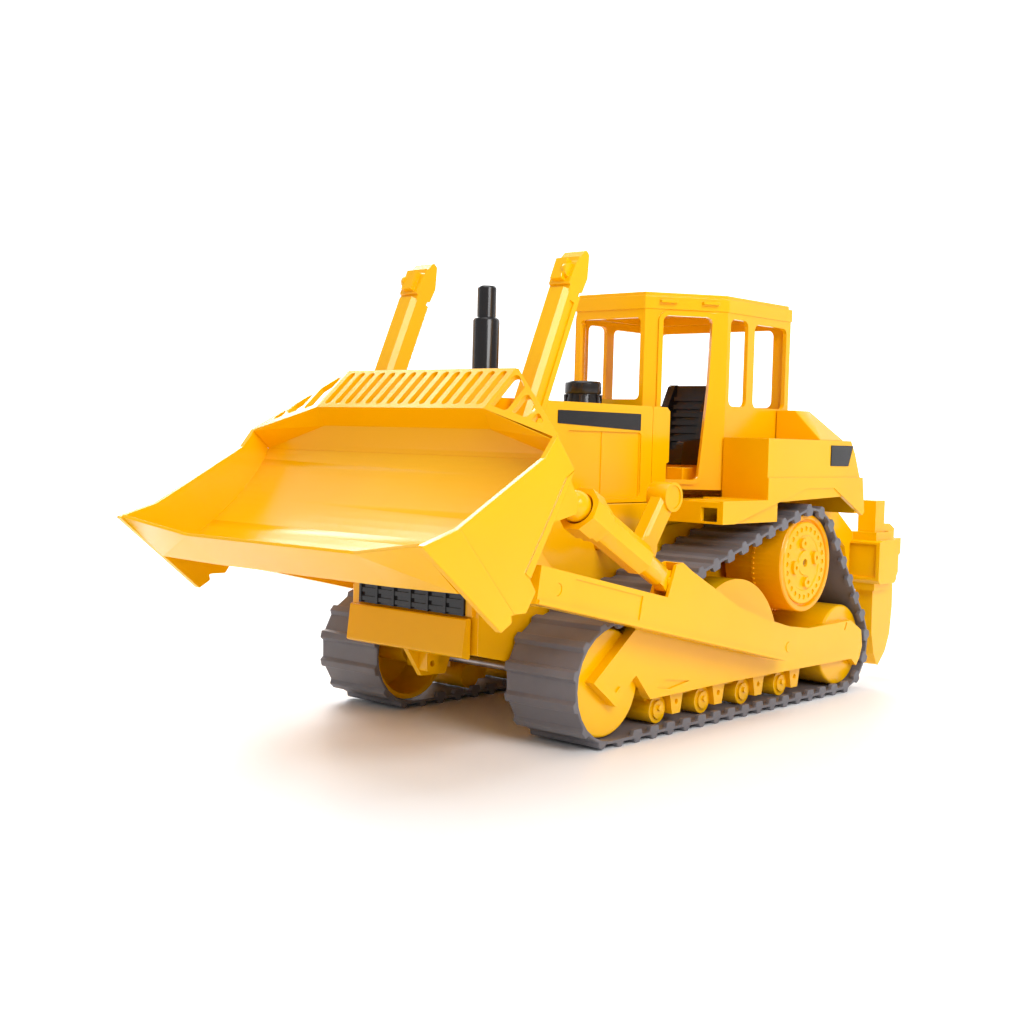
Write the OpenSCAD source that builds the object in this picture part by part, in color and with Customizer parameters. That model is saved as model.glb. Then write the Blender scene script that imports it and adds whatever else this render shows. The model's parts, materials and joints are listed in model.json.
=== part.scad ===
// Toy bulldozer with a raised blade, crawler tracks and a rear ripper.
// +Z is up, the blade faces -Y, and "left" is the driver's left hand side, +X.
// The tracks stand on z = 0. Side views are drawn as [y, z] outlines from a side datum
// close to the front idler, and the finished part is moved so that its length is centred.

/* [Tracks] */
// Width over the outer edges of both track belts
track_span = 160; // [156:1:161]
// Width of one track belt
belt_w = 39; // [37:1:39]
// Length of one track shoe
shoe_pitch = 12.5; // [11:0.5:16]
// Radius that the belt follows around the front idler
front_path_r = 24.5; // [23.5:0.25:24.5]
// Radius that the belt follows around the rear idler
rear_path_r = 22.3; // [21:0.1:22.5]
// Radius that the belt follows over the drive drum
drum_path_r = 27.3; // [26.5:0.1:28]

/* [Body] */
// Half of the width of the engine hood
hood_half = 37; // [36:0.5:37]
// Height of the top of the engine hood
hood_top = 150; // [146:1:151]
// Height of the top of the cab roof
roof_top = 208; // [206:1:212]
// Half of the width of the rear body and fenders
fender_half = 80; // [78:1:81]

/* [Blade] */
// Half of the width over the blade's end plates
blade_half = 94.5; // [94:0.5:97]
// Number of slots in the straight part of the rock guard
guard_slots = 15; // [9:1:17]

/* [Fits] */
// Gap around each axle and hinge pin
pin_gap = 0.1; // [0.05:0.01:0.2]
// Gap around the sliding lift bars and brace rods
slide_gap = 0.4; // [0.3:0.1:0.6]

/* [Hidden] */
$fn = 48;

// Overall length, from the blade tips to the back of the ripper shanks
tip_y = -140;
tail_y = 289;
mid_y = (tip_y + tail_y) / 2;

// Track belt: tread bars outside, guide lugs inside along both edges
belt_out = track_span / 2;
belt_in = belt_out - belt_w;
tread_h = 2;
band_t = 1.5;
belt_t = tread_h + band_t;
lug_h = 2.5;
lug_w = 2.4;
wheel_gap = 0.6;

// Wheel centres in the side view, and the outer and inner faces of the wheels
front_c = [-7, front_path_r + belt_t];
rear_c = [200, rear_path_r + belt_t];
drum_c = [158.4, 72.3];
wheel_out = belt_out - lug_w - 0.8;
wheel_in = belt_in + lug_w + 0.8;
drum_r = 25.4;
axle_r = 2;

// Main pivots in the side view
arm_pivot = [118, 34];
blade_pivot = [-61, 73.5];
ball_c = [-45.7, 106];
brace_pivot = [18, 72];
guide_c = [-36.7, 130];
lever_pivot = [31, 84];
ripper_pivot = [216, 100];
pin_r = 2.5;
trunnion_r = 3.4;

// Sideways places of the moving parts
arm_in = 82;
arm_out = 92;
brace_x = 87.2;
bar_x = 47;
bar_w = 11.6;
lever_x = 65;

// Direction and length of the lift bars and of the tilt braces, from their lower pivots
bar_run = guide_c - blade_pivot;
bar_angle = atan2(bar_run[1], bar_run[0]);
brace_run = ball_c - brace_pivot;
brace_angle = atan2(brace_run[1], brace_run[0]);
brace_len = norm(brace_run);
ball_r = 6.5;
ball_gap = 0.8;

// Colours
body_yellow = "gold";
deep_yellow = "orange";
trim_black = "#2a2a2a";
tread_grey = "#746b6e";
steel_grey = "silver";

// ---------------------------------------------------------------- helpers

// Extrudes a [y, z] outline sideways from x0 to x1
module slab(x0, x1) {
    translate([x0, 0, 0]) rotate([90, 0, 90]) linear_extrude(x1 - x0) children();
}

// Round rod across the machine, centred on the [y, z] point c
module rod(x0, x1, c, r) {
    translate([x0, c[0], c[1]]) rotate([0, 90, 0]) cylinder(h = x1 - x0, r = r);
}

// Turns an [r, x] profile about a cross axis through the [y, z] point c
module turned(c) {
    translate([0, c[0], c[1]]) rotate([0, 90, 0]) rotate_extrude($fn = 96) children();
}

// Block between two opposite corners
module block(a, b) {
    translate(a) cube(b - a);
}

// Draws its children on the left (+1) or mirrored to the right (-1)
module on_side(side) {
    mirror([side < 0 ? 1 : 0, 0, 0]) children();
}

module both_sides() {
    children();
    mirror([1, 0, 0]) children();
}

// Rounds the convex corners of a flat outline
module soft(r) {
    offset(r = r, $fn = 24) offset(delta = -r) children();
}

// Places its children with the local x axis along a slope in the side view
module along(c, angle) {
    translate([0, c[0], c[1]]) rotate([angle, 0, 0]) children();
}

// Moves the design from the side datum to the part's own origin
module placed() {
    translate([0, -mid_y, 0]) children();
}

// ---------------------------------------------------------------- track belt path

path_c = [front_c, rear_c, drum_c];
path_r = [front_path_r, rear_path_r, drum_path_r];
function nxt(i) = (i + 1) % 3;
function gap_vec(i) = path_c[nxt(i)] - path_c[i];
// Outward normal angle of the straight run that leaves wheel i
function run_normal(i) =
    atan2(gap_vec(i)[1], gap_vec(i)[0]) - acos((path_r[i] - path_r[nxt(i)]) / norm(gap_vec(i)));
function run_len(i) = sqrt(pow(norm(gap_vec(i)), 2) - pow(path_r[i] - path_r[nxt(i)], 2));
// Angle that the belt wraps round the wheel at the end of run i
function wrap(i) = (run_normal(nxt(i)) - run_normal(i) + 720) % 360;
function wrap_len(i) = path_r[nxt(i)] * wrap(i) * PI / 180;
function leg_len(i) = run_len(i) + wrap_len(i);
belt_len = leg_len(0) + leg_len(1) + leg_len(2);
shoe_count = round(belt_len / shoe_pitch);
shoe_len = belt_len / shoe_count;

// Point at distance s along the belt and height h outside its inner line
function leg_point(i, s, h) =
    s < run_len(i)
    ? let(n = run_normal(i))
      path_c[i] + (path_r[i] + h) * [cos(n), sin(n)] + s * [-sin(n), cos(n)]
    : let(n = run_normal(i) + (s - run_len(i)) / path_r[nxt(i)] * 180 / PI)
      path_c[nxt(i)] + (path_r[nxt(i)] + h) * [cos(n), sin(n)];
function belt_point(s, h) =
    let(q = s < 0 ? s + belt_len : s >= belt_len ? s - belt_len : s)
    q < leg_len(0) ? leg_point(0, q, h)
    : q < leg_len(0) + leg_len(1) ? leg_point(1, q - leg_len(0), h)
    : leg_point(2, q - leg_len(0) - leg_len(1), h);

// One tread bar as [distance from the shoe's centre, height]
tread_profile = [[-2.6, band_t], [-1.5, belt_t], [1.5, belt_t], [2.6, band_t]];
lug_profile = [[-3.6, 0.4], [-2.8, -lug_h], [2.8, -lug_h], [3.6, 0.4]];

module belt_ring() {
    difference() {
        polygon([for (k = [0:shoe_count - 1], p = tread_profile)
            belt_point((k + 0.5) * shoe_len + p[0], p[1])]);
        polygon([for (k = [0:2 * shoe_count - 1]) belt_point(k * shoe_len / 2, 0)]);
    }
}

// Guide lugs, left out round the front idler
module belt_lugs() {
    for (k = [0:shoe_count - 1])
        if (norm(belt_point((k + 0.5) * shoe_len, 0) - front_c) > front_path_r + 2)
            polygon([for (p = lug_profile) belt_point((k + 0.5) * shoe_len + p[0], p[1])]);
}

module track_belt(side) {
    color(tread_grey) on_side(side) {
        slab(belt_in, belt_out) belt_ring();
        slab(belt_out - lug_w, belt_out) belt_lugs();
        slab(belt_in, belt_in + lug_w) belt_lugs();
    }
}

// ---------------------------------------------------------------- wheels and axles

// Dished wheel, open towards the chassis: tread radius, width from x0 to x1, hub radius
module dished_wheel(c, r, x0, x1, hub_r) {
    turned(c) polygon([
        [axle_r + pin_gap, x0], [hub_r, x0], [hub_r, x1 - 6], [r - 2.6, x1 - 9], [r - 2.6, x0],
        [r, x0], [r, x1 - 0.8], [r - 0.8, x1], [axle_r + pin_gap, x1]
    ]);
}

module front_idler(side) {
    color(body_yellow) on_side(side)
        dished_wheel(front_c, front_path_r - wheel_gap, wheel_in, wheel_out - 1.6, 6);
}

module rear_idler(side) {
    color(body_yellow) on_side(side)
        dished_wheel(rear_c, rear_path_r - wheel_gap, wheel_in, wheel_out - 1.6, 5);
}

drum_teeth = 60;
drum_cap_seat = wheel_out - 1.8;

module drive_drum(side) {
    color(deep_yellow) on_side(side) {
        turned(drum_c) polygon([
            [axle_r + pin_gap, wheel_in], [9, wheel_in], [9, wheel_in + 6], [drum_r - 3, wheel_in + 6],
            [drum_r - 3, wheel_in], [drum_r, wheel_in], [drum_r, wheel_out - 0.6],
            [drum_r - 0.6, wheel_out], [drum_r - 2.6, wheel_out], [drum_r - 3.2, drum_cap_seat],
            [axle_r + pin_gap, drum_cap_seat]
        ]);
        // Ring of fine teeth part way along the drum
        slab(60, 61.4) difference() {
            translate(drum_c) for (k = [0:drum_teeth - 1])
                rotate(k * 360 / drum_teeth) translate([drum_r - 0.5, -0.5]) square([1.3, 1]);
            translate(drum_c) circle(r = drum_r - 0.4, $fn = 96);
        }
    }
}

cap_r = 21.4;
cap_dimples = 24;

module drum_cap(side) {
    color(body_yellow) on_side(side) {
        difference() {
            turned(drum_c) polygon([
                [axle_r + pin_gap, drum_cap_seat], [cap_r, drum_cap_seat], [cap_r, drum_cap_seat + 0.8],
                [cap_r - 0.6, drum_cap_seat + 1.4], [14.5, drum_cap_seat + 1.4],
                [14, drum_cap_seat + 0.9], [6.6, drum_cap_seat + 0.9], [6.2, drum_cap_seat + 1.6],
                [axle_r + pin_gap, drum_cap_seat + 1.6]
            ]);
            // Ring of dimples round the rim
            for (k = [0:cap_dimples - 1]) along(drum_c, k * 360 / cap_dimples)
                rod(drum_cap_seat + 0.7, drum_cap_seat + 2, [17.8, 0], 1.3);
        }
        // Four raised bosses between the hub and the rim
        for (k = [0:3]) along(drum_c, 12 + 90 * k)
            slab(drum_cap_seat + 0.8, drum_cap_seat + 2.6)
                translate([10.4, 0]) difference() {
                    scale([1, 1.3]) circle(r = 2.7, $fn = 32);
                    circle(r = 1.1, $fn = 32);
                }
    }
}

module cross_axle(c) {
    color(steel_grey) rod(-wheel_out + 2, wheel_out - 2, c, axle_r);
}

// ---------------------------------------------------------------- track frames

frame_in = 50;
plate_in = belt_out - 3.8;
plate_out = belt_out - 0.8;

// Outline of the outer side plate: a fork over the front idler, a long beam and a rear end
module frame_plate_outline() {
    polygon([
        [-21, 30], [-5, 18], [1, 22.8], [5.4, 26.5], [10.3, 30], [21.4, 18], [82, 18.6], [153, 18.2],
        [207, 17.8], [213, 13.6], [222, 23.7], [219, 32], [205, 39], [160, 38.4], [140, 41],
        [96, 52], [30, 56], [12, 54.5], [8, 51]
    ]);
}

module track_frame(side) {
    color(body_yellow) on_side(side) difference() {
        union() {
            // Outer side plate
            slab(plate_in - 1.5, plate_out) intersection() {
                frame_plate_outline();
                translate([-30, 12]) square([252, 60]);
            }
            // Box beam between the idlers
            slab(frame_in, plate_in - 1.5) polygon([
                [20, 19], [170, 19], [176, 24], [176, 34], [160, 38.4], [140, 41], [96, 52], [30, 52],
                [22, 46]
            ]);
            // Arms that reach in to the chassis
            for (y = [52, 136]) slab(tub_half, frame_in + 1) translate([y, 24]) square([10, 12]);
            // Raised band along the front edge of the fork
            slab(plate_out - 0.5, plate_out + 0.9) polygon([
                [8, 51], [-21, 30], [-5, 18], [1, 22.8], [-2.2, 26.4], [-5.2, 24.2], [-13, 30.2],
                [14.6, 50.2]
            ]);
            // Bearing boss of the push arm
            rod(plate_out - 1, arm_in - 0.4, arm_pivot, 6);
            // Push arm pin
            rod(plate_out - 2, arm_out + 0.4, arm_pivot, pin_r);
        }
        // Clearance round both idlers and the guide lugs of the belt
        rod(wheel_in - 5, plate_in - 1, front_c, front_path_r + 0.8);
        rod(wheel_in - 5, plate_in - 1, rear_c, rear_path_r + 0.8);
        slab(plate_in - 3, plate_out + 1) difference() {
            translate([-60, -20]) square([320, 160]);
            polygon([for (k = [0:shoe_count - 1]) belt_point(k * shoe_len, -lug_h - 0.6)]);
        }
        // Raised wedge pocket and the small slot in the rear end
        slab(plate_out - 0.9, plate_out + 1) polygon([[26, 22.6], [32.6, 25.6], [52, 23], [36, 21]]);
        slab(plate_out - 0.9, plate_out + 1) translate([199, 34]) rotate(60) square([4.5, 1.2]);
        // Lightening slot in the box beam
        slab(frame_in + 2.4, plate_in - 4) translate([34, 14]) square([118, 20]);
    }
}

roller_c = [37.4, 74, 109.5, 145.6];
roller_r = 6.4;
roller_z = belt_t + roller_r + 0.5;
bracket_y = [48.4, 83.6, 119.8, 155];

// Moulded bottom rollers and the hanger brackets between them
module roller_row(side) {
    color(body_yellow) on_side(side) {
        for (y = roller_c) {
            rod(wheel_in + 1.5, 71.6, [y, roller_z], roller_r);
            rod(71, 72.6, [y, roller_z], roller_r - 2.2);
            rod(72, 73.6, [y, roller_z + 0.8], 1.3);
        }
        for (y = bracket_y) difference() {
            slab(wheel_in + 4, plate_in - 1.6) polygon([
                [y - 5.4, 17.9], [y - 3.2, 7.6], [y + 3.2, 7.6], [y + 5.4, 17.9]
            ]);
            rod(72, 76, [y, 13.2], 1.3);
        }
        // Rail that carries the rollers and brackets
        slab(frame_in + 4, 69) translate([31, 14.6]) square([126, 4.3]);
    }
}

// Curved cover on top of the beam with a round housing behind it
module recoil_cover(side) {
    cover_c = [98, 25];
    color(body_yellow) on_side(side) intersection() {
        union() {
            difference() {
                rod(56, 73, cover_c, 42);
                rod(55, 71.5, cover_c, 39.4);
            }
            difference() {
                rod(60, 70, [101, 30], 27.5);
                for (k = [0:5]) along([101, 46], 60 * k) rod(69, 71, [4, 0], 1);
            }
            rod(69.5, 71.3, [101, 46], 2);
            for (k = [0:15]) slab(71, 73.6) translate([104 + 2 * k, 50 - 0.6 * k]) square([0.9, 1]);
        }
        slab(50, 80) polygon([
            [62, 53.2], [96.2, 52.3], [140.2, 41.3], [146, 39.9], [146, 80], [62, 80]
        ]);
    }
}

// ---------------------------------------------------------------- chassis and hood

wall = 2.4;
tub_half = 39.6;
tub_top = 103;
nose_y = -50;
tub_end = 205;

module chassis_tub() {
    color(body_yellow) difference() {
        union() {
            difference() {
                slab(-tub_half, tub_half) polygon([
                    [nose_y, 39.5], [-32, 35.5], [110, 33], [tub_end, 40], [tub_end, tub_top],
                    [-45.8, tub_top], [-45.8, 63.8], [nose_y, 63.8]
                ]);
                slab(-tub_half + wall, tub_half - wall) polygon([
                    [nose_y + wall, 41.5], [-32, 34], [110, 32], [tub_end - wall, 32],
                    [tub_end - wall, tub_top + 1], [-43, tub_top + 1], [-43, 61], [nose_y + wall, 61]
                ]);
            }
            // Bearing walls for the axles that pass below and through the tub
            for (c = [front_c, rear_c]) both_sides() slab(33, tub_half) difference() {
                translate([c[0] - 7, c[1] - 6]) square([14, 24]);
                translate(c) circle(r = axle_r + pin_gap);
            }
            // Cross wall behind the engine bay
            slab(-tub_half + 1, tub_half - 1) translate([84, 44]) square([wall, tub_top - 45]);
        }
        for (c = [front_c, drum_c, rear_c]) rod(-60, 60, c, axle_r + pin_gap);
        both_sides() rod(30, 50, lever_pivot, pin_r + pin_gap);
    }
}

// Flat floor that closes the tub from below
module belly_plate() {
    color(body_yellow) difference() {
        slab(-32.8, 32.8) polygon([
            [-31.4, 35.8], [109, 33.4], [202, 40.2], [202, 42.4], [109, 35.8], [-31.4, 38.2]
        ]);
        for (c = [front_c, rear_c]) rod(-60, 60, c, axle_r + 4);
        for (y = [10, 90, 170]) both_sides() translate([24, y, 30]) cylinder(h = 20, r = 1.6);
    }
}

// Screws that hold the floor plate
module body_screws() {
    color(steel_grey) for (y = [10, 90, 170], x = [-24, 24]) translate([x, y, 0]) {
        difference() {
            translate([0, 0, 31]) cylinder(h = 2, r = 3);
            for (a = [0, 90]) rotate(a) translate([-2, -0.4, 30.6]) cube([4, 0.8, 1.4]);
        }
        translate([0, 0, 32.5]) cylinder(h = 10, r = 1.4);
    }
}

// Bonnet: hollow shell with sunken side panels, a front frame and an open back
module hood_shell() {
    color(body_yellow) difference() {
        union() {
            difference() {
                slab(-hood_half, hood_half) soft(1.5) polygon([
                    [nose_y, 64], [nose_y, hood_top - 5], [nose_y + 6, hood_top], [75, hood_top],
                    [75, tub_top + 0.4], [-46, tub_top + 0.4], [-46, 64]
                ]);
                slab(-hood_half + wall, hood_half - wall) polygon([
                    [nose_y + wall, tub_top - 2], [nose_y + wall, hood_top - 6],
                    [nose_y + 7, hood_top - wall], [80, hood_top - wall], [80, tub_top - 2]
                ]);
            }
            // Front frame down to the bumper, on both sides of the grille
            both_sides() block([33.2, nose_y - 1.4, 56], [hood_half, nose_y, hood_top - 8]);
            // Ledge along the lower edge
            both_sides() block([hood_half - 0.5, 12, tub_top + 0.4], [hood_half + 1.2, 68, tub_top + 2.2]);
        }
        // Sunken side panels
        both_sides() slab(hood_half - 1, hood_half + 1) soft(2) polygon([
            [9, 137], [66, 137], [66, 106], [9, 106]
        ]);
        // Grille opening
        block([-31, nose_y - 0.1, 66], [31, nose_y + wall + 1, 140]);
        // Bores for the trunnions of the lift bar guides
        both_sides() rod(hood_half - 4, hood_half + 1, guide_c, trunnion_r + pin_gap);
    }
    // Door seams inside the sunken panels
    color(body_yellow) both_sides() for (y = [35.5, 65.2])
        block([hood_half - 1.1, y, 106.5], [hood_half - 0.5, y + 0.7, 136.5]);
}

// Long dark decals under the hood edge, plain
module side_stripes() {
    color(trim_black) both_sides() slab(hood_half, hood_half + 0.3)
        polygon([[2, 140], [65, 138], [65, 146], [2, 146]]);
}

module front_bumper() {
    color(body_yellow) {
        slab(-36.4, 36.4) soft(1) polygon([
            [nose_y - 1.4, 55.4], [nose_y - 4.4, 55.4], [nose_y - 6.4, 39], [nose_y - 1.4, 37.4]
        ]);
        // Keel plate under the nose
        slab(-1.4, 1.4) polygon([
            [nose_y - 5, 39.6], [-45, 25.6], [-30, 25.2], [-26, 34.6], [-32.4, 35.3], [nose_y - 0.2, 39.2],
            [nose_y - 1.8, 40]
        ]);
    }
}

grille_bars = 7;
grille_slats = 22;

module radiator_grille() {
    color(trim_black) {
        block([-33, nose_y - 1.2, 56], [33, nose_y - 0.2, 141]);
        // Upright bars
        for (k = [0:grille_bars - 1]) translate([-32.2 + k * 64.4 / (grille_bars - 1), 0, 0])
            block([-0.7, nose_y - 2.4, 56], [0.7, nose_y - 1, 141]);
        // Slats
        for (k = [0:grille_slats - 1])
            block([-32.2, nose_y - 2, 57 + k * 3.9], [32.2, nose_y - 1, 59 + k * 3.9]);
    }
}

module tow_hook() {
    color(body_yellow) slab(1.4, 6.6) difference() {
        soft(1.5) polygon([[-47, 28], [-40, 28], [-40, 37.2], [-47, 38.6]]);
        translate([-43.6, 31.6]) circle(r = 1.4, $fn = 32);
    }
}

module exhaust_stack() {
    stack_y = -7;
    color(trim_black) translate([0, stack_y, hood_top]) rotate_extrude($fn = 64) polygon([
        [0, 0], [8, 0], [8, 1.6], [6.2, 2.4], [6.2, 36.5], [5.6, 37.5], [4.4, 38], [4.4, 51.5],
        [3.6, 52.4], [3.2, 52.4], [3.2, 44], [0, 44]
    ]);
}

module pre_cleaner() {
    cleaner_y = 66;
    color(trim_black) translate([0, cleaner_y, hood_top]) {
        rotate_extrude($fn = 64) polygon([
            [0, 0], [9.6, 0], [8.6, 5.6], [9.2, 6], [9.2, 11], [8.4, 12], [0, 12.4]
        ]);
        // Fins round the lower skirt
        for (k = [0:11]) rotate(30 * k) translate([8.4, -0.5, 0]) cube([1.3, 1, 5.4]);
    }
}

// ---------------------------------------------------------------- cab

cab_front = 86.5;
cab_mid = 123;
cab_rear = 185;
cab_front_half = 22;
cab_side_half = 47.3;
cab_base = 109;
cab_wall = 2.2;
roof_base = 199.4;

// Plan of the cab, grown outwards by g
module cab_plan(g = 0) {
    offset(delta = g) polygon([
        [-cab_front_half, cab_front], [cab_front_half, cab_front], [cab_side_half, cab_mid],
        [cab_side_half, cab_rear], [-cab_side_half, cab_rear], [-cab_side_half, cab_mid]
    ]);
}

// Places a flat outline on the angled door wall: x runs rearwards, y runs up
module on_door_wall(depth) {
    run = [cab_side_half - cab_front_half, cab_mid - cab_front];
    translate([cab_front_half, cab_front, 0]) rotate([0, 0, atan2(run[1], run[0])])
        rotate([90, 0, 0]) translate([0, 0, -depth]) linear_extrude(2 * depth) children();
}

// Rounded rectangle from corner a to corner b
module pane(a, b, r = 3.5) {
    soft(r) polygon([a, [b[0], a[1]], b, [a[0], b[1]]]);
}

module door_outline() {
    soft(3) polygon([
        [5.5, 114], [30.5, 114], [34.6, 160], [35.8, 196.4], [9.5, 196.4], [9.5, 154], [8.6, 123],
        [5.5, 122]
    ]);
}

module cab_shell() {
    color(body_yellow) {
        difference() {
            union() {
                translate([0, 0, cab_base]) linear_extrude(roof_base - cab_base) cab_plan();
                // Raised lip round the door opening
                both_sides() intersection() {
                    on_door_wall(1) offset(delta = 2.4) door_outline();
                    translate([0, 0, cab_base]) linear_extrude(roof_base - cab_base) cab_plan(1);
                }
                // Shoulders that join the cab to the back of the hood
                both_sides() slab(cab_front_half, hood_half) polygon([
                    [75.4, tub_top + 0.6], [87.4, tub_top + 0.6], [87.4, 122], [89.6, 123],
                    [89.6, hood_top - 2], [87, hood_top], [75.4, hood_top]
                ]);
            }
            // Inside
            translate([0, 0, cab_base - 1]) linear_extrude(roof_base - cab_base + 2)
                cab_plan(-cab_wall);
            // Windscreen
            translate([0, cab_front + 4, 0]) rotate([90, 0, 0]) linear_extrude(8)
                pane([-19.3, 154], [19.3, 195], 2.5);
            // Doorways
            both_sides() on_door_wall(9) door_outline();
            // Side windows
            both_sides() slab(cab_side_half - 5, cab_side_half + 5) {
                pane([126, 152], [142.5, 196.4]);
                pane([149, 152], [181, 195.4]);
            }
            // Rear window
            translate([0, cab_rear + 4, 0]) rotate([90, 0, 0]) linear_extrude(8)
                pane([-38, 153], [38, 195]);
        }
    }
}

module cab_roof() {
    color(body_yellow) difference() {
        union() {
            translate([0, 0, roof_base]) linear_extrude(roof_top - roof_base - 2) cab_plan(0.6);
            translate([0, 0, roof_top - 2]) linear_extrude(2) cab_plan(-0.8);
            // Small lamp ledges above the doors
            both_sides() for (s = [7.5, 30]) intersection() {
                on_door_wall(4) translate([s, 202.6]) square([9, 1.6]);
                translate([0, 0, 200]) linear_extrude(5) cab_plan(3);
            }
        }
        // Hollow underside
        translate([0, 0, roof_base - 1]) linear_extrude(roof_top - roof_base - 2.4)
            cab_plan(-cab_wall - 0.4);
    }
}

module cab_floor() {
    color(body_yellow) {
        translate([0, 0, cab_base]) linear_extrude(2.4) cab_plan(-cab_wall - 0.3);
        // Plinth under the seat and the console beside it
        block([-13, 135, cab_base + 2], [13, 168, cab_base + 12]);
        block([20, 112, cab_base + 2], [30, 122, cab_base + 11]);
        // Dashboard pedestal
        block([-14, 91, cab_base + 2], [14, 97, 146]);
    }
}

// Moulded driver's seat with bolsters and a ribbed back
module seat() {
    seat_z = cab_base + 12.2;
    color(trim_black) {
        block([-14.5, 132, seat_z], [14.5, 166, seat_z + 8]);
        both_sides() slab(11, 15.5) soft(2.5) polygon([
            [131, seat_z], [166, seat_z], [170, 164], [162, 165], [154, 150], [150, seat_z + 14],
            [133, seat_z + 12]
        ]);
        slab(-11.5, 11.5) soft(2) polygon([
            [150, seat_z], [166, seat_z], [170, 164.5], [163, 164.5], [154, seat_z + 10]
        ]);
        for (k = [0:5]) along([154.6, seat_z + 10], 75) translate([-10, 2 + 4.6 * k, -1])
            cube([20, 2.2, 3]);
    }
}

// ---------------------------------------------------------------- rear body

tank_front = 113.5;
// Front of the hollow in the tank, behind its slanted front face
tank_inner = 125.4;
tank_top = 136;
skirt_top = 116.5;
step_top = 105;
step_front = 74;

// Silhouette of the side skirt that arches over the track
module skirt_outline() {
    polygon([
        [step_front, 94.5], [85, 94.5], [152, 111], [180, 111], [212, 96], [214, 97.5], [211, skirt_top],
        [tank_front - 0.6, skirt_top], [tank_front - 0.6, step_top + 0.6], [step_front, step_top + 0.6]
    ]);
}

module rear_body() {
    color(body_yellow) difference() {
        union() {
            // Upper tank across the machine
            difference() {
                slab(-fender_half + 0.8, fender_half - 0.8) polygon([
                    [tank_front, step_top - 1], [tank_front, tank_top], [198, tank_top], [203, 129],
                    [209, skirt_top], [209, step_top + 2]
                ]);
                slab(-fender_half + 3.2, fender_half - 3.2) polygon([
                    [tank_inner, 90], [tank_inner, tank_top - wall], [196, tank_top - wall],
                    [200.6, 128], [206.4, skirt_top - 1], [206.4, 90]
                ]);
            }
            // Side skirts and the steps in front of the tank
            both_sides() slab(fender_half - 2.4, fender_half) skirt_outline();
            both_sides() difference() {
                block([41, step_front, 94.5], [fender_half - 2, tank_inner + 1, step_top]);
                block([39, step_front + wall, 90], [fender_half - 2.6, 130, step_top - wall]);
            }
            // Tread ribs on the steps
            both_sides() for (k = [0:8])
                translate([58, step_front + 4 + 4 * k, step_top - 0.5]) cube([18, 1.6, 1]);
            // Rear cross wall with the ripper lugs
            block([-fender_half + 2, 206.6, 97], [fender_half - 2, 209, step_top + 4]);
            both_sides() for (x = [42.6, 54.4]) slab(x, x + 3) difference() {
                polygon([[206.8, 92], [216, 93.5], [222, 100], [218, 106.5], [206.8, 109]]);
                translate(ripper_pivot) circle(r = pin_r);
            }
        }
        // Slant of the tank's front face, from the cab out to the skirt
        both_sides() translate([0, 0, step_top + 0.6]) linear_extrude(tank_top) polygon([
            [30, 100], [fender_half + 1, 100], [fender_half + 1, 113.6], [47, 122], [30, 122]
        ]);
        // Room for the cab
        translate([0, 0, 80]) linear_extrude(80) cab_plan(1.1);
        // Square pocket in the front of each step
        both_sides() block([67.6, step_front - 1, 95.6], [76.6, step_front + 6, 102.2]);
        // Space over the chassis
        block([-37.4, 60, 80], [37.4, 205, tub_top + 0.3]);
    }
}

// Housing round the back of the cab with sloping sides and a sloping rear
module rear_deck() {
    deck_z = tank_top;
    deck_top = 151.5;
    color(body_yellow) difference() {
        intersection() {
            slab(-76, 76) polygon([
                [172.5, deck_z], [172.5, deck_top], [188, deck_top], [197.6, deck_z]
            ]);
            rotate([90, 0, 0]) translate([0, 0, -220]) linear_extrude(60) polygon([
                [-75, deck_z], [75, deck_z], [59, deck_top], [-59, deck_top]
            ]);
        }
        translate([0, 0, deck_z - 1]) linear_extrude(30) cab_plan(0.6);
        block([-47, 187, deck_z - 0.1], [47, 189, deck_top - wall]);
    }
}

module tank_badges() {
    color(trim_black) both_sides() slab(fender_half - 0.8, fender_half - 0.4)
        polygon([[176, 122.6], [195, 122.6], [199.6, 133.4], [176, 133.4]]);
}

// ---------------------------------------------------------------- push arms and blade

module push_arm(side) {
    color(body_yellow) on_side(side) difference() {
        union() {
            // Box arm with its brace gusset
            slab(arm_in, arm_out) polygon([
                [-74, 68.6], [-71.5, 83.6], [14.2, 65.4], [20, 79], [25, 80], [32, 76], [72, 57],
                [124, 41], [126, 38], [125, 28], [115, 27.4]
            ]);
            // Thin lip along the lower edge
            slab(arm_out - 1, arm_out + 1) polygon([
                [-73.6, 68.8], [-73.2, 70.4], [114.8, 29.4], [114.8, 27.7]
            ]);
        }
        rod(arm_in - 1, arm_out + 2, arm_pivot, pin_r + pin_gap);
        rod(arm_in - 1, arm_out + 2, blade_pivot, pin_r + pin_gap);
        // Pocket for the lower end of the tilt brace
        slab(arm_in + 1.6, arm_out - 1.6) polygon([
            [-2, 84], [-2, 70.5], [12, 63.5], [24, 66.5], [26.4, 72], [24, 79], [20, 90]
        ]);
        // Sunken outer panel
        slab(arm_out - 0.6, arm_out + 0.2) polygon([[-52, 66.8], [-50, 77], [-4, 67], [-6, 57]]);
    }
    // Cross pin of the tilt brace, across the pocket
    color(body_yellow) on_side(side) rod(arm_in + 1.4, arm_out - 1.4, brace_pivot, 2);
}

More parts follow.
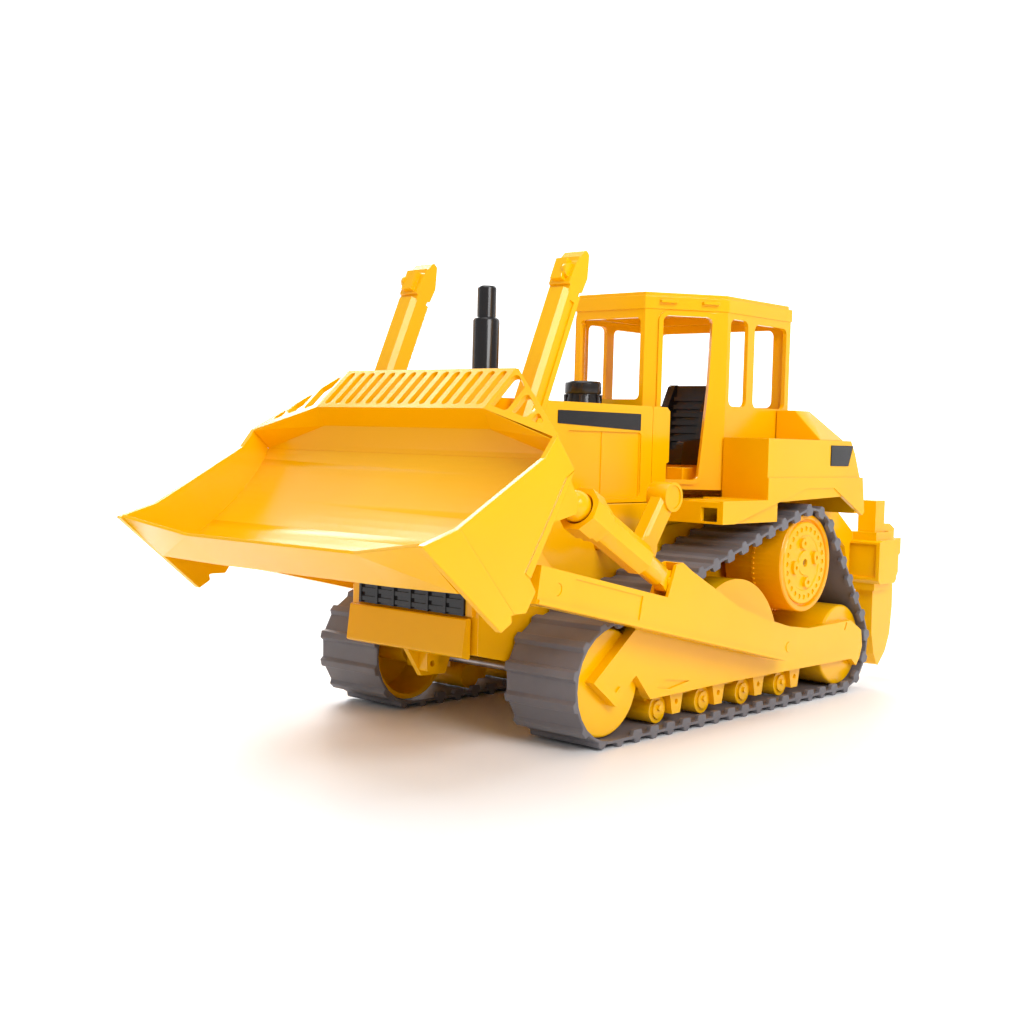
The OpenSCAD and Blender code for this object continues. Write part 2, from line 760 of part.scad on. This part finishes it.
// Inner curve of the moldboard in the side view, from the cutting edge up to the guard
mold_low = [-111.2, 77.6];
mold_low_pull = [-92, 88.5];
mold_top_pull = [-64.6, 108.4];
mold_top = [-58.8, 125.2];
mold_steps = 18;
function bend(t) =
    pow(1 - t, 3) * mold_low + 3 * t * pow(1 - t, 2) * mold_low_pull
    + 3 * t * t * (1 - t) * mold_top_pull + pow(t, 3) * mold_top;
mold_inner = [for (k = [0:mold_steps]) bend(k / mold_steps)];
mold_t = 2.6;
blade_in = blade_half - 2.6;
guard_half = 52;
guard_foot = [-63.8, 144.5];
guard_head = [-44.4, 162];
guard_t = 2.6;

// Direction across the curve at point i, pointing to the back of the blade
function mold_back(i) =
    let(a = mold_inner[max(i - 1, 0)], b = mold_inner[min(i + 1, len(mold_inner) - 1)], d = b - a)
    [d[1], -d[0]] / norm(d);

// Back of the moldboard, closed along the front: everything that lies before its rear surface
mold_rear = [for (i = [0:mold_steps]) mold_inner[i] + mold_t * mold_back(i)];

module blade_shell() {
    color(body_yellow) {
        slab(-blade_in, blade_in)
            polygon(concat(mold_inner, [for (i = [mold_steps:-1:0]) mold_rear[i]]));
        // Upright panel above the curve, higher in the middle
        hull() {
            slab(-blade_in, blade_in)
                polygon([[-59.2, 124.6], [-56.2, 123.9], [-56.2, 125.6], [-59, 125.6]]);
            slab(-guard_half, guard_half) polygon([[-59, 136], [-56.4, 136], [-56.4, 137], [-59, 137]]);
        }
        // Overhang from the panel out to the foot of the guard
        difference() {
            hull() {
                slab(-guard_half, guard_half)
                    polygon([[-59, 136], [-56.4, 136], [-56.4, 138], [-59, 136.6]]);
                slab(-guard_half, guard_half) polygon([[-63.9, 144.4], [-62.2, 142.4], [-60.8, 143.6]]);
            }
            guard_blank(0.02);
        }
        both_sides() difference() {
            hull() {
                slab(guard_half - 0.5, guard_half)
                    polygon([[-59, 136], [-56.4, 136], [-56.4, 138], [-60.8, 143.6], [-63.9, 144.4]]);
                slab(blade_in - 1, blade_in)
                    polygon([[-59.2, 124.8], [-56.4, 124.6], [-65, 132.4], [-68.4, 133]]);
            }
            guard_blank(0.02);
        }
        // Ribs on the back
        difference() {
            for (x = [-70, -24, 0, 24, 70]) slab(x - 1.1, x + 1.1) polygon([
                [-98, 82], [-60, 122], [-57, 124], [-58, 112], [-66, 98], [-84, 82]
            ]);
            slab(-80, 80) mold_front();
        }
    }
}

// Side view of the space in front of the moldboard's rear surface
module mold_front() {
    polygon(concat([[-150, 60], [-112, 60]], mold_rear, [[-57, 150], [-150, 150]]));
}

guard_len = norm(guard_head - guard_foot);
guard_angle = atan2(guard_head[1] - guard_foot[1], guard_head[0] - guard_foot[0]);
guard_bend = 8;
slot_w = 3.6;

// Places a flat outline in the plane of the rock guard: x across, y up its slope
module on_guard() {
    translate([0, guard_foot[0], guard_foot[1]]) rotate([guard_angle, 0, 0])
        translate([0, 0, -guard_t]) linear_extrude(guard_t) children();
}

module slot(x, y0, y1, w) {
    translate([x - w / 2, y0 + w / 2]) square([w, y1 - y0 - w]);
    for (y = [y0 + w / 2, y1 - w / 2]) translate([x, y]) circle(r = w / 2, $fn = 32);
}

// Outline of one corner of the guard, drawn from the fold outwards
module corner_outline() {
    polygon([
        [-0.5, 0.1], [-0.5, guard_len - 0.1], [1.4, guard_len - 0.1], [42.4, -8.4], [41.4, -10]
    ]);
}

// Places the plate of a guard corner, bent back from the middle
module on_corner() {
    both_sides() translate([guard_half, guard_foot[0], guard_foot[1]])
        rotate([guard_angle, 0, 0]) rotate([0, guard_bend, 0]) translate([0, 0, -guard_t]) children();
}

// The guard without its openings, thicker by g below
module guard_blank(g) {
    translate([0, 0, -g]) on_guard() translate([-guard_half, 0]) square([2 * guard_half, guard_len]);
    translate([0, 0, -g]) on_corner() linear_extrude(guard_t + 1) corner_outline();
    translate([0, 0, g]) on_guard() translate([-guard_half, 0]) square([2 * guard_half, guard_len]);
}

// One corner with openings between its bars
module guard_corner() {
    difference() {
        corner_outline();
        soft(1.6) polygon([[1.6, 2.6], [1.6, 22.4], [4.4, 21.8], [11.4, 15.4], [11.4, 0.4]]);
        soft(1.6) polygon([[14, 0.4], [14, 13.2], [23, 5.2], [23, -1.8]]);
        soft(1.2) polygon([[25.6, -2.6], [25.6, 3], [33.4, -3.8], [33.4, -4.8]]);
    }
}

module rock_guard() {
    pitch = (2 * guard_half - 3) / guard_slots;
    color(body_yellow) {
        on_guard() difference() {
            translate([-guard_half, 0]) square([2 * guard_half, guard_len]);
            for (k = [0:guard_slots - 1])
                slot((k - (guard_slots - 1) / 2) * pitch, 2.4, guard_len - 1.8, slot_w);
        }
        on_corner() linear_extrude(guard_t - 0.1) guard_corner();
    }
}

module blade_end(side) {
    color(body_yellow) on_side(side) {
        slab(blade_in + 0.1, blade_half) polygon([
            [-121, 99.4], [-74.2, 125.2], [-67, 134], [-55.8, 120.8], [-81, 79], [-77.4, 73.8],
            [-82.9, 65.8], [-90, 65.9]
        ]);
        // Lower corner piece, slightly proud of the plate
        slab(blade_in + 0.1, blade_half + 0.7) polygon([
            [-121, 99.4], [tip_y + 0.4, 93.9], [tip_y, 93.2], [-97.5, 59.6], [-91.4, 63],
            [-91.9, 65.7], [-90, 65.9]
        ]);
        // Thickened rear edge
        slab(blade_half - 0.4, blade_half + 0.5) polygon([
            [-55.8, 120.8], [-81, 79], [-84.4, 81.4], [-61.2, 117.6]
        ]);
    }
}

// Wedge shaped edge: a straight middle and two ends that sweep forwards to the tips
module cutting_edge() {
    lip = [-133.6, 87.6];
    heel = [-114.6, 74.2];
    lip_end = [tip_y + 0.6, 93.4];
    heel_end = [-118, 75.4];
    fold_x = 52;
    color(body_yellow) {
        slab(-fold_x, fold_x) polygon([lip, heel, mold_rear[0], mold_low, lip + [0.4, 1.2]]);
        both_sides() hull() {
            slab(fold_x, fold_x + 0.5) polygon([lip, heel, mold_rear[0], mold_low, lip + [0.4, 1.2]]);
            slab(blade_in - 0.6, blade_in) polygon([
                lip_end, heel_end, mold_rear[0], mold_low, lip_end + [0.6, 1.2]
            ]);
        }
    }
}

// Hinge lugs and pins on the back of the blade, with the two ball studs of the tilt braces
module blade_mounts() {
    color(body_yellow) {
        difference() {
            union() {
                // Lugs beside the push arms
                both_sides() slab(76, arm_in - 0.6) polygon([
                    [-96, 84], [-76, 104], [-52, 80], [-53, 68], [-62, 65.6], [-70, 68]
                ]);
                // Lugs of the lift bars
                both_sides() for (x = [bar_x - 9.2, bar_x + 6.2]) slab(x, x + 3) polygon([
                    [-96, 84], [-76, 104], [-55, 80], [-56, 69], [-62, 67.2], [-68, 69]
                ]);
                // Brackets of the ball studs
                both_sides() slab(brace_x - 3, blade_in) polygon([
                    [-84, 96], [-62, 120], [-56.6, 119], [-49, 108], [-51, 103]
                ]);
            }
            slab(-blade_half, blade_half) mold_front();
        }
        both_sides() {
            // Pins through the arms and the lift bars
            rod(76, arm_out - 0.4, blade_pivot, pin_r);
            rod(bar_x - 9.2, bar_x + 9.2, blade_pivot, pin_r);
            // Balls of the tilt braces
            translate([brace_x, ball_c[0], ball_c[1]]) sphere(r = ball_r, $fn = 64);
        }
    }
}

// ---------------------------------------------------------------- tilt braces

sleeve_end = 22;
sleeve_start = 66;
sleeve_r = 7.4;
collar_r = 10;
rod_r = 5.6;

// Local frame of the brace: its own y axis runs from the arm pivot to the ball
module on_brace() {
    translate([brace_x, brace_pivot[0], brace_pivot[1]]) rotate([brace_angle, 0, 0]) children();
}

module y_rod(y0, y1, r) {
    translate([0, y0, 0]) rotate([-90, 0, 0]) cylinder(h = y1 - y0, r = r);
}

module brace_rod(side) {
    color(body_yellow) on_side(side) on_brace() difference() {
        union() {
            y_rod(7, sleeve_start - 16, rod_r - slide_gap);
            rotate([0, 90, 0]) translate([0, 0, -2.8]) cylinder(h = 5.6, r = 4.8);
            block([-2.8, 0, -3.8], [2.8, 8, 3.8]);
        }
        rotate([0, 90, 0]) translate([0, 0, -6]) cylinder(h = 12, r = 2 + pin_gap);
    }
}

module brace_sleeve(side) {
    color(body_yellow) on_side(side) on_brace() difference() {
        union() {
            // Eight sided tube
            translate([0, sleeve_end, 0]) rotate([-90, 22.5, 0])
                cylinder(h = sleeve_start - sleeve_end, r = sleeve_r, $fn = 8);
            // Eight sided collar round the ball, with a thinner step behind it
            translate([0, sleeve_start - 5, 0]) rotate([-90, 22.5, 0])
                cylinder(h = 9, r = collar_r, $fn = 8);
            translate([0, sleeve_start - 10, 0]) rotate([-90, 22.5, 0])
                cylinder(h = 6, r = collar_r - 1.2, $fn = 8);
        }
        y_rod(sleeve_end - 1, sleeve_start - 9, rod_r);
        translate([0, brace_len, 0]) sphere(r = ball_r + ball_gap, $fn = 64);
        // Throat for the stud
        translate([0, brace_len, 0]) rotate([90, 0, 0]) rotate([180, 0, 0])
            cylinder(h = 20, r1 = ball_r + ball_gap, r2 = ball_r + 6);
    }
}

// ---------------------------------------------------------------- lift bars and their guides

// Local frame of a lift bar: y runs up the bar from the blade pin, z is square to it
module on_bar() {
    translate([bar_x, blade_pivot[0], blade_pivot[1]]) rotate([bar_angle, 0, 0]) children();
}

bar_step = 134;
bar_top = 150;
notch_count = 12;

module bar_block(y0, y1, z0, z1, half = bar_w / 2) {
    block([-half, y0, z0], [half, y1, z1]);
}

module lift_bar(side) {
    color(body_yellow) on_side(side) on_bar() difference() {
        union() {
            // Eye on the blade pin
            rotate([0, 90, 0]) translate([0, 0, -4.6]) cylinder(h = 9.2, r = 6);
            block([-4.6, 0, -4.5], [4.6, 12, 4.5]);
            // Box section with bevelled edges
            translate([0, 10, 0]) rotate([-90, 0, 0]) linear_extrude(bar_step - 10) polygon([
                [-4, -6], [4, -6], [5.8, -3.6], [5.8, 4.4], [4.4, 6], [-4.4, 6], [-5.8, 4.4], [-5.8, -3.6]
            ]);
            // Slimmer upper part and the head
            bar_block(bar_step - 1, bar_top, -3, 4);
            slab(-bar_w / 2, bar_w / 2) soft(1.2) polygon([
                [bar_step + 2, -4.6], [bar_top - 6, -5.4], [bar_top + 4, -2], [bar_top + 5, 1],
                [bar_top - 3, 4.4], [bar_step + 2, 5.4]
            ]);
            // Hose lug with its round boss on the front of the head
            block([-3.4, bar_top - 12.6, 3], [2.8, bar_top - 2.6, 8]);
            rod(2, 4.2, [bar_top - 7.6, 5.4], 3.2);
        }
        rotate([0, 90, 0]) translate([0, 0, -8]) cylinder(h = 16, r = pin_r + 0.5);
        // Ratchet notches up the back of the bar
        for (k = [0:notch_count - 1]) rod(-6, 6, [88 + 4.2 * k, -7], 2);
        // Long groove in the outer face
        block([bar_w / 2 - 0.8, 20, -1.6], [bar_w / 2 + 1, bar_step - 4, 1.4]);
    }
}

guide_x0 = bar_x - bar_w / 2 - slide_gap - 2.4;
guide_x1 = bar_x + bar_w / 2 + slide_gap + 2.4;

// Swivelling guide that each lift bar slides through
module bar_guide(side) {
    run = norm(bar_run);
    color(body_yellow) on_side(side) {
        on_bar() difference() {
            block([guide_x0 - bar_x, run - 9, -9], [guide_x1 - bar_x, run + 9, 9]);
            block([-bar_w / 2 - slide_gap, run - 10, -6 - slide_gap],
                  [bar_w / 2 + slide_gap, run + 10, 6 + slide_gap]);
        }
        // Trunnion in the side of the hood
        rod(hood_half - 3, guide_x0 + 0.5, guide_c, trunnion_r);
    }
}

// ---------------------------------------------------------------- lift levers

lever_angle = 54;
lever_len = 29;

module lift_lever(side) {
    head = lever_pivot + lever_len * [cos(lever_angle), sin(lever_angle)];
    color(body_yellow) on_side(side) {
        // Cross head
        difference() {
            rod(lever_x - 6, lever_x + 5, head, 6.9);
            rod(lever_x + 4.4, lever_x + 6, head, 5.4);
        }
        // Bevelled shank
        translate([lever_x - 0.5, lever_pivot[0], lever_pivot[1]]) rotate([lever_angle, 0, 0])
            rotate([-90, 0, 0]) linear_extrude(lever_len - 3) polygon([
                [-4.4, -4], [-2.8, -5.6], [2.8, -5.6], [4.4, -4], [4.4, 4], [2.8, 5.6], [-2.8, 5.6],
                [-4.4, 4]
            ]);
        rod(lever_x - 5, lever_x + 4, lever_pivot, 6.2);
        // Pivot pin to the side of the chassis
        rod(35, lever_x - 4, lever_pivot, pin_r);
    }
}

// ---------------------------------------------------------------- ripper

beam_half = 72;
beam_front = 250;
shank_x = 60;
shank_w = 11;

module ripper_frame() {
    color(body_yellow) difference() {
        union() {
            // Hollow fronted cross beam
            slab(-beam_half, beam_half) polygon([
                [beam_front, 57], [beam_front, 79], [beam_front + 3, 80], [beam_front + 20, 80],
                [beam_front + 22, 78], [beam_front + 22, 57], [beam_front + 20, 55], [beam_front + 2, 55]
            ]);
            // Clamps round the shanks
            both_sides() block([shank_x - shank_w / 2 - 3, beam_front + 2, 51],
                               [shank_x + shank_w / 2 + 3, beam_front + 20, 84.4]);
            // Arms to the hinge on the rear body
            both_sides() slab(46.4, 53.6) polygon([
                [213, 94.6], [210.8, 100], [213, 105], [219, 105.6], [252, 84], [252, 60], [247, 62],
                [243, 76]
            ]);
            both_sides() rod(46.4, 53.6, ripper_pivot, 5.6);
        }
        // Sunken front face
        block([-beam_half + 2.4, beam_front - 1, 58.6], [-shank_x + 30, beam_front + 1.6, 77.6]);
        block([shank_x - 30, beam_front - 1, 58.6], [beam_half - 2.4, beam_front + 1.6, 77.6]);
        block([-28, beam_front - 1, 58.6], [28, beam_front + 1.6, 77.6]);
        // Slots for the shanks
        both_sides() block([shank_x - shank_w / 2 - 0.2, beam_front + 5.8, 40],
                           [shank_x + shank_w / 2 + 0.2, beam_front + 17.2, 100]);
        // Hinge bores
        rod(-60, 60, ripper_pivot, pin_r + pin_gap);
    }
}

// Ripper teeth with stepped backs and hooked points
module ripper_shanks() {
    y0 = beam_front + 6;
    color(body_yellow) both_sides() slab(shank_x - shank_w / 2, shank_x + shank_w / 2) {
        translate([y0, 38]) square([11, 64.5]);
        polygon([
            [y0, 39], [y0 + 0.5, 26], [y0 + 4, 14], [y0 + 8, 7.4], [y0 + 10, 6.6], [y0 + 18, 14],
            [y0 + 23, 24], [y0 + 25, 40], [y0 + 24.6, 56], [y0 + 16.2, 56], [y0 + 16.2, 50.6],
            [y0 + 11, 50.6], [y0 + 11, 39]
        ]);
        polygon([
            [y0 + 16.2, 53], [y0 + 28, 56], [tail_y - 2, 60], [tail_y - 2, 70], [tail_y, 71], [tail_y, 80],
            [y0 + 24, 80], [y0 + 24, 86], [y0 + 18, 89], [y0 + 11, 89], [y0 + 11, 84.6], [y0 + 16.2, 84.6]
        ]);
    }
}

// Hinge pins of the ripper
module ripper_pins() {
    color(steel_grey) both_sides() rod(42, 58, ripper_pivot, pin_r);
}

// ---------------------------------------------------------------- nodes

placed() chassis_tub();
placed() belly_plate();
placed() hood_shell();
placed() side_stripes();
placed() front_bumper();
placed() radiator_grille();
placed() tow_hook();
placed() exhaust_stack();
placed() pre_cleaner();
placed() cab_shell();
placed() cab_roof();
placed() cab_floor();
placed() seat();
placed() rear_body();
placed() rear_deck();
placed() tank_badges();
placed() cross_axle(front_c);  // front_axle
placed() cross_axle(drum_c);  // drive_axle
placed() cross_axle(rear_c);  // rear_axle
placed() track_frame(1);  // track_frame_left
placed() track_frame(-1);  // track_frame_right
placed() roller_row(1);  // roller_row_left
placed() roller_row(-1);  // roller_row_right
placed() recoil_cover(1);  // recoil_cover_left
placed() recoil_cover(-1);  // recoil_cover_right
placed() track_belt(1);  // track_belt_left
placed() track_belt(-1);  // track_belt_right
placed() front_idler(1);  // front_idler_left
placed() front_idler(-1);  // front_idler_right
placed() rear_idler(1);  // rear_idler_left
placed() rear_idler(-1);  // rear_idler_right
placed() drive_drum(1);  // drive_drum_left
placed() drive_drum(-1);  // drive_drum_right
placed() drum_cap(1);  // drum_cap_left
placed() drum_cap(-1);  // drum_cap_right
placed() push_arm(1);  // push_arm_left
placed() push_arm(-1);  // push_arm_right
placed() blade_shell();
placed() rock_guard();
placed() blade_end(1);  // blade_end_left
placed() blade_end(-1);  // blade_end_right
placed() cutting_edge();
placed() blade_mounts();
placed() brace_sleeve(1);  // brace_sleeve_left
placed() brace_sleeve(-1);  // brace_sleeve_right
placed() brace_rod(1);  // brace_rod_left
placed() brace_rod(-1);  // brace_rod_right
placed() bar_guide(1);  // bar_guide_left
placed() bar_guide(-1);  // bar_guide_right
placed() lift_bar(1);  // lift_bar_left
placed() lift_bar(-1);  // lift_bar_right
placed() lift_lever(1);  // lift_lever_left
placed() lift_lever(-1);  // lift_lever_right
placed() ripper_frame();
placed() ripper_shanks();
placed() ripper_pins();
placed() body_screws();
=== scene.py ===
"""Looks for the toy bulldozer: camera, studio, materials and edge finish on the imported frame."""
import json
import math

import bpy
from mathutils import Matrix, Vector

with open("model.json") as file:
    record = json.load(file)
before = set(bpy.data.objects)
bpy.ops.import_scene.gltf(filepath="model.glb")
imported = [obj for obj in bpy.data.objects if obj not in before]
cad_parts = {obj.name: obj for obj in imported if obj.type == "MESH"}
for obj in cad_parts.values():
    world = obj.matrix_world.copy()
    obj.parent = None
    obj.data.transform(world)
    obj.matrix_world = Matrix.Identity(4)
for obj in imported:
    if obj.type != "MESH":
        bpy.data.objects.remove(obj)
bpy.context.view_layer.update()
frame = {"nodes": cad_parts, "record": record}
MM = 0.001
WHITE = (1, 1, 1, 1)

# ---------------------------------------------------------------- camera
# Place in metres; the angles are the heading, the tilt above the horizon and the roll

CAMERA_PLACE = Vector((0.44389, -0.56334, 0.13221))
CAMERA_AZIMUTH = math.radians(41.409)
CAMERA_PITCH = math.radians(-2.798)
CAMERA_ROLL = math.radians(1.554)
LENS = 49.574
SENSOR_WIDTH = 36
SHIFT_Y = -0.0039


def make_camera():
    """Adds the camera and makes it the active one."""
    data = bpy.data.cameras.new("camera")
    data.lens = LENS
    data.sensor_width = SENSOR_WIDTH
    data.shift_y = SHIFT_Y
    data.clip_start = 0.01
    data.clip_end = 20
    camera = bpy.data.objects.new("camera", data)
    bpy.context.scene.collection.objects.link(camera)
    heading = Matrix.Rotation(CAMERA_AZIMUTH, 4, "Z")
    tilt = Matrix.Rotation(math.pi / 2 + CAMERA_PITCH, 4, "X")
    roll = Matrix.Rotation(CAMERA_ROLL, 4, "Z")
    camera.matrix_world = Matrix.Translation(CAMERA_PLACE) @ heading @ tilt @ roll
    bpy.context.scene.camera = camera


# ---------------------------------------------------------------- studio

FLOOR_SIZE = 30
STUDIO_COLOR = (0.95, 0.95, 0.96, 1)
STUDIO_ROUGHNESS = 0.45
STUDIO_SPECULAR = 0.2
WORLD_STRENGTH = 0.5
BACKDROP_SIZE = (12, 6)
BACKDROP_DISTANCE = 1.4
BACKDROP_GLOW = 0.6
# The point that every soft box faces
AIM = (0, 0, 0.08)

# Name, place, size in metres and power in watts of each soft box
SOFT_BOXES = [
    ("key_light", (1.25, -0.45, 0.95), (0.7, 0.7), 14),
    ("top_light", (0, -0.1, 1.5), (1.0, 1.0), 7),
    ("blade_light", (-0.85, 0.4, 0.8), (0.7, 0.5), 9),
]


def make_floor():
    """Wide pale floor under the tracks."""
    bpy.ops.mesh.primitive_plane_add(size=FLOOR_SIZE, location=(0, 0, 0))
    floor = bpy.context.object
    floor.name = "studio_floor"
    floor.data.materials.append(studio_material("floor_white"))


def make_backdrop():
    """Bright white screen behind the object, square to the camera."""
    bpy.ops.mesh.primitive_plane_add(size=1)
    backdrop = bpy.context.object
    backdrop.name = "studio_backdrop"
    backdrop.scale = (*BACKDROP_SIZE, 1)
    backdrop.rotation_euler = (math.pi / 2, 0, CAMERA_AZIMUTH)
    backdrop.location = (
        -math.sin(CAMERA_AZIMUTH) * BACKDROP_DISTANCE,
        math.cos(CAMERA_AZIMUTH) * BACKDROP_DISTANCE,
        0,
    )
    material = studio_material("backdrop_white")
    shader = material.node_tree.nodes["Principled BSDF"]
    shader.inputs["Emission Color"].default_value = WHITE
    shader.inputs["Emission Strength"].default_value = BACKDROP_GLOW
    backdrop.data.materials.append(material)


def studio_material(name):
    """Plain pale surface of the floor and the screen."""
    material = bpy.data.materials.new(name)
    material.use_nodes = True
    shader = material.node_tree.nodes["Principled BSDF"]
    shader.inputs["Base Color"].default_value = STUDIO_COLOR
    shader.inputs["Roughness"].default_value = STUDIO_ROUGHNESS
    shader.inputs["Specular IOR Level"].default_value = STUDIO_SPECULAR
    return material


def soft_box(name, place, size, power):
    """Rectangular area light that faces the aim point."""
    data = bpy.data.lights.new(name, "AREA")
    data.shape = "RECTANGLE"
    data.size, data.size_y = size
    data.energy = power
    light = bpy.data.objects.new(name, data)
    light.location = place
    light.rotation_mode = "QUATERNION"
    light.rotation_quaternion = (Vector(AIM) - Vector(place)).to_track_quat("-Z", "Y")
    bpy.context.scene.collection.objects.link(light)


def make_lights():
    """White surroundings and the soft boxes, shown without a film curve."""
    world = bpy.data.worlds.new("studio_world")
    world.use_nodes = True
    background = world.node_tree.nodes["Background"]
    background.inputs["Color"].default_value = WHITE
    background.inputs["Strength"].default_value = WORLD_STRENGTH
    scene = bpy.context.scene
    scene.world = world
    scene.view_settings.view_transform = "Standard"
    for name, place, size, power in SOFT_BOXES:
        soft_box(name, place, size, power)


# ---------------------------------------------------------------- materials
# Noise scales are in waves per metre, and bump depths in metres

COLOR_DRIFT = 14
FLOW_MARKS = 22
GLOSS_PATCHES = 60
SKIN_GRAIN = 2600
SKIN_DEPTH = 0.02 * MM
FLOW_DEPTH = 0.4 * MM
PLASTIC_IOR = 1.5

RUBBER_MOTTLE = 40
RUBBER_GLOSS = 90
RUBBER_GRAIN = 1800
RUBBER_DEPTH = 0.08 * MM

STEEL_MOTTLE = 200
STEEL_GLOSS = 500


class Nodes:
    """Short calls for building a material's node tree."""

    def __init__(self, name):
        self.material = bpy.data.materials.new(name)
        self.material.use_nodes = True
        self.tree = self.material.node_tree
        self.shader = self.tree.nodes["Principled BSDF"]

    def add(self, kind, **inputs):
        """Adds a node and sets its inputs; an underscore stands for a space in an input's name."""
        node = self.tree.nodes.new(kind)
        for key, value in inputs.items():
            node.inputs[key.replace("_", " ")].default_value = value
        return node

    def link(self, a, b):
        self.tree.links.new(a, b)

    def position(self):
        """Object position, in metres: every piece's mesh is in the frame of the whole object."""
        return self.add("ShaderNodeTexCoord").outputs["Object"]

    def noise(self, scale, detail=2.0):
        node = self.add("ShaderNodeTexNoise", Scale=scale, Detail=detail)
        self.link(self.position(), node.inputs["Vector"])
        return node.outputs["Fac"]

    def mix_colors(self, fac, dark, light):
        """Blends from dark to light over the middle of the noise's range."""
        node = self.add("ShaderNodeValToRGB")
        stops = ((0.3, dark), (0.7, light))
        for element, (place, color) in zip(node.color_ramp.elements, stops):
            element.position = place
            element.color = (*color, 1)
        self.link(fac, node.inputs["Fac"])
        return node.outputs["Color"]

    def spread(self, fac, low, high):
        """Stretches a noise over the range from low to high."""
        node = self.add("ShaderNodeMapRange", To_Min=low, To_Max=high)
        self.link(fac, node.inputs["Value"])
        return node.outputs["Result"]

    def bump(self, height, depth, normal=None):
        node = self.add("ShaderNodeBump", Distance=depth)
        self.link(height, node.inputs["Height"])
        if normal:
            self.link(normal, node.inputs["Normal"])
        return node.outputs["Normal"]


def moulded_plastic(name, dark, light, roughness, specular):
    """Glossy moulded plastic: colour drift, uneven gloss, faint flow marks and a fine skin texture."""
    n = Nodes(name)
    n.link(n.mix_colors(n.noise(COLOR_DRIFT), dark, light), n.shader.inputs["Base Color"])
    gloss = n.spread(n.noise(GLOSS_PATCHES), roughness * 0.8, roughness * 1.25)
    n.link(gloss, n.shader.inputs["Roughness"])
    skin = n.bump(n.noise(SKIN_GRAIN, 1), SKIN_DEPTH)
    n.link(n.bump(n.noise(FLOW_MARKS, 0), FLOW_DEPTH, normal=skin), n.shader.inputs["Normal"])
    n.shader.inputs["IOR"].default_value = PLASTIC_IOR
    n.shader.inputs["Specular IOR Level"].default_value = specular
    return n.material


def belt_rubber(name, dark, light):
    """Soft grey track material: matt, faintly mottled, with a fine grain."""
    n = Nodes(name)
    n.link(n.mix_colors(n.noise(RUBBER_MOTTLE, 4), dark, light), n.shader.inputs["Base Color"])
    n.link(n.spread(n.noise(RUBBER_GLOSS), 0.42, 0.6), n.shader.inputs["Roughness"])
    n.link(n.bump(n.noise(RUBBER_GRAIN, 3), RUBBER_DEPTH), n.shader.inputs["Normal"])
    return n.material


def turned_steel(name, dark, light):
    """Bright steel of the axles, screws and pins, with small uneven patches."""
    n = Nodes(name)
    n.link(n.mix_colors(n.noise(STEEL_MOTTLE, 3), dark, light), n.shader.inputs["Base Color"])
    n.link(n.spread(n.noise(STEEL_GLOSS), 0.22, 0.4), n.shader.inputs["Roughness"])
    n.shader.inputs["Metallic"].default_value = 1.0
    return n.material


# Darkest and lightest colour of each material, then its roughness and reflection level
MATERIALS = {
    "body_plastic": moulded_plastic("body_plastic", (0.93, 0.46, 0.0), (0.97, 0.51, 0.0), 0.18, 0.35),
    "drum_plastic": moulded_plastic("drum_plastic", (0.95, 0.38, 0.0), (0.98, 0.42, 0.0), 0.2, 0.35),
    "black_plastic": moulded_plastic(
        "black_plastic", (0.008, 0.007, 0.008), (0.014, 0.012, 0.013), 0.2, 0.5
    ),
    "belt_rubber": belt_rubber("belt_rubber", (0.13, 0.122, 0.134), (0.17, 0.16, 0.174)),
    "steel_pins": turned_steel("steel_pins", (0.36, 0.34, 0.35), (0.5, 0.47, 0.48)),
}

# ---------------------------------------------------------------- CAD nodes

WELD_GAP = 0.01 * MM
EDGE_ROUND = 0.5 * MM
EDGE_STEPS = 2
# Edges that bend less than this stay smooth
SMOOTH_ANGLE = math.radians(32)


def finish_node(node, material):
    """Gives a CAD node its material and softly rounded edges."""
    node.data.materials.clear()
    node.data.materials.append(material)
    weld = node.modifiers.new("weld", "WELD")
    weld.merge_threshold = WELD_GAP
    bevel = node.modifiers.new("edge_round", "BEVEL")
    bevel.width = EDGE_ROUND
    bevel.segments = EDGE_STEPS
    bevel.limit_method = "ANGLE"
    bevel.angle_limit = SMOOTH_ANGLE
    bevel.harden_normals = True


slots = {part["node"]: part["material_slot"] for part in frame["record"]["subparts"]}
for name, node in frame["nodes"].items():
    finish_node(node, MATERIALS[slots[name]])

make_camera()
make_floor()
make_backdrop()
make_lights()
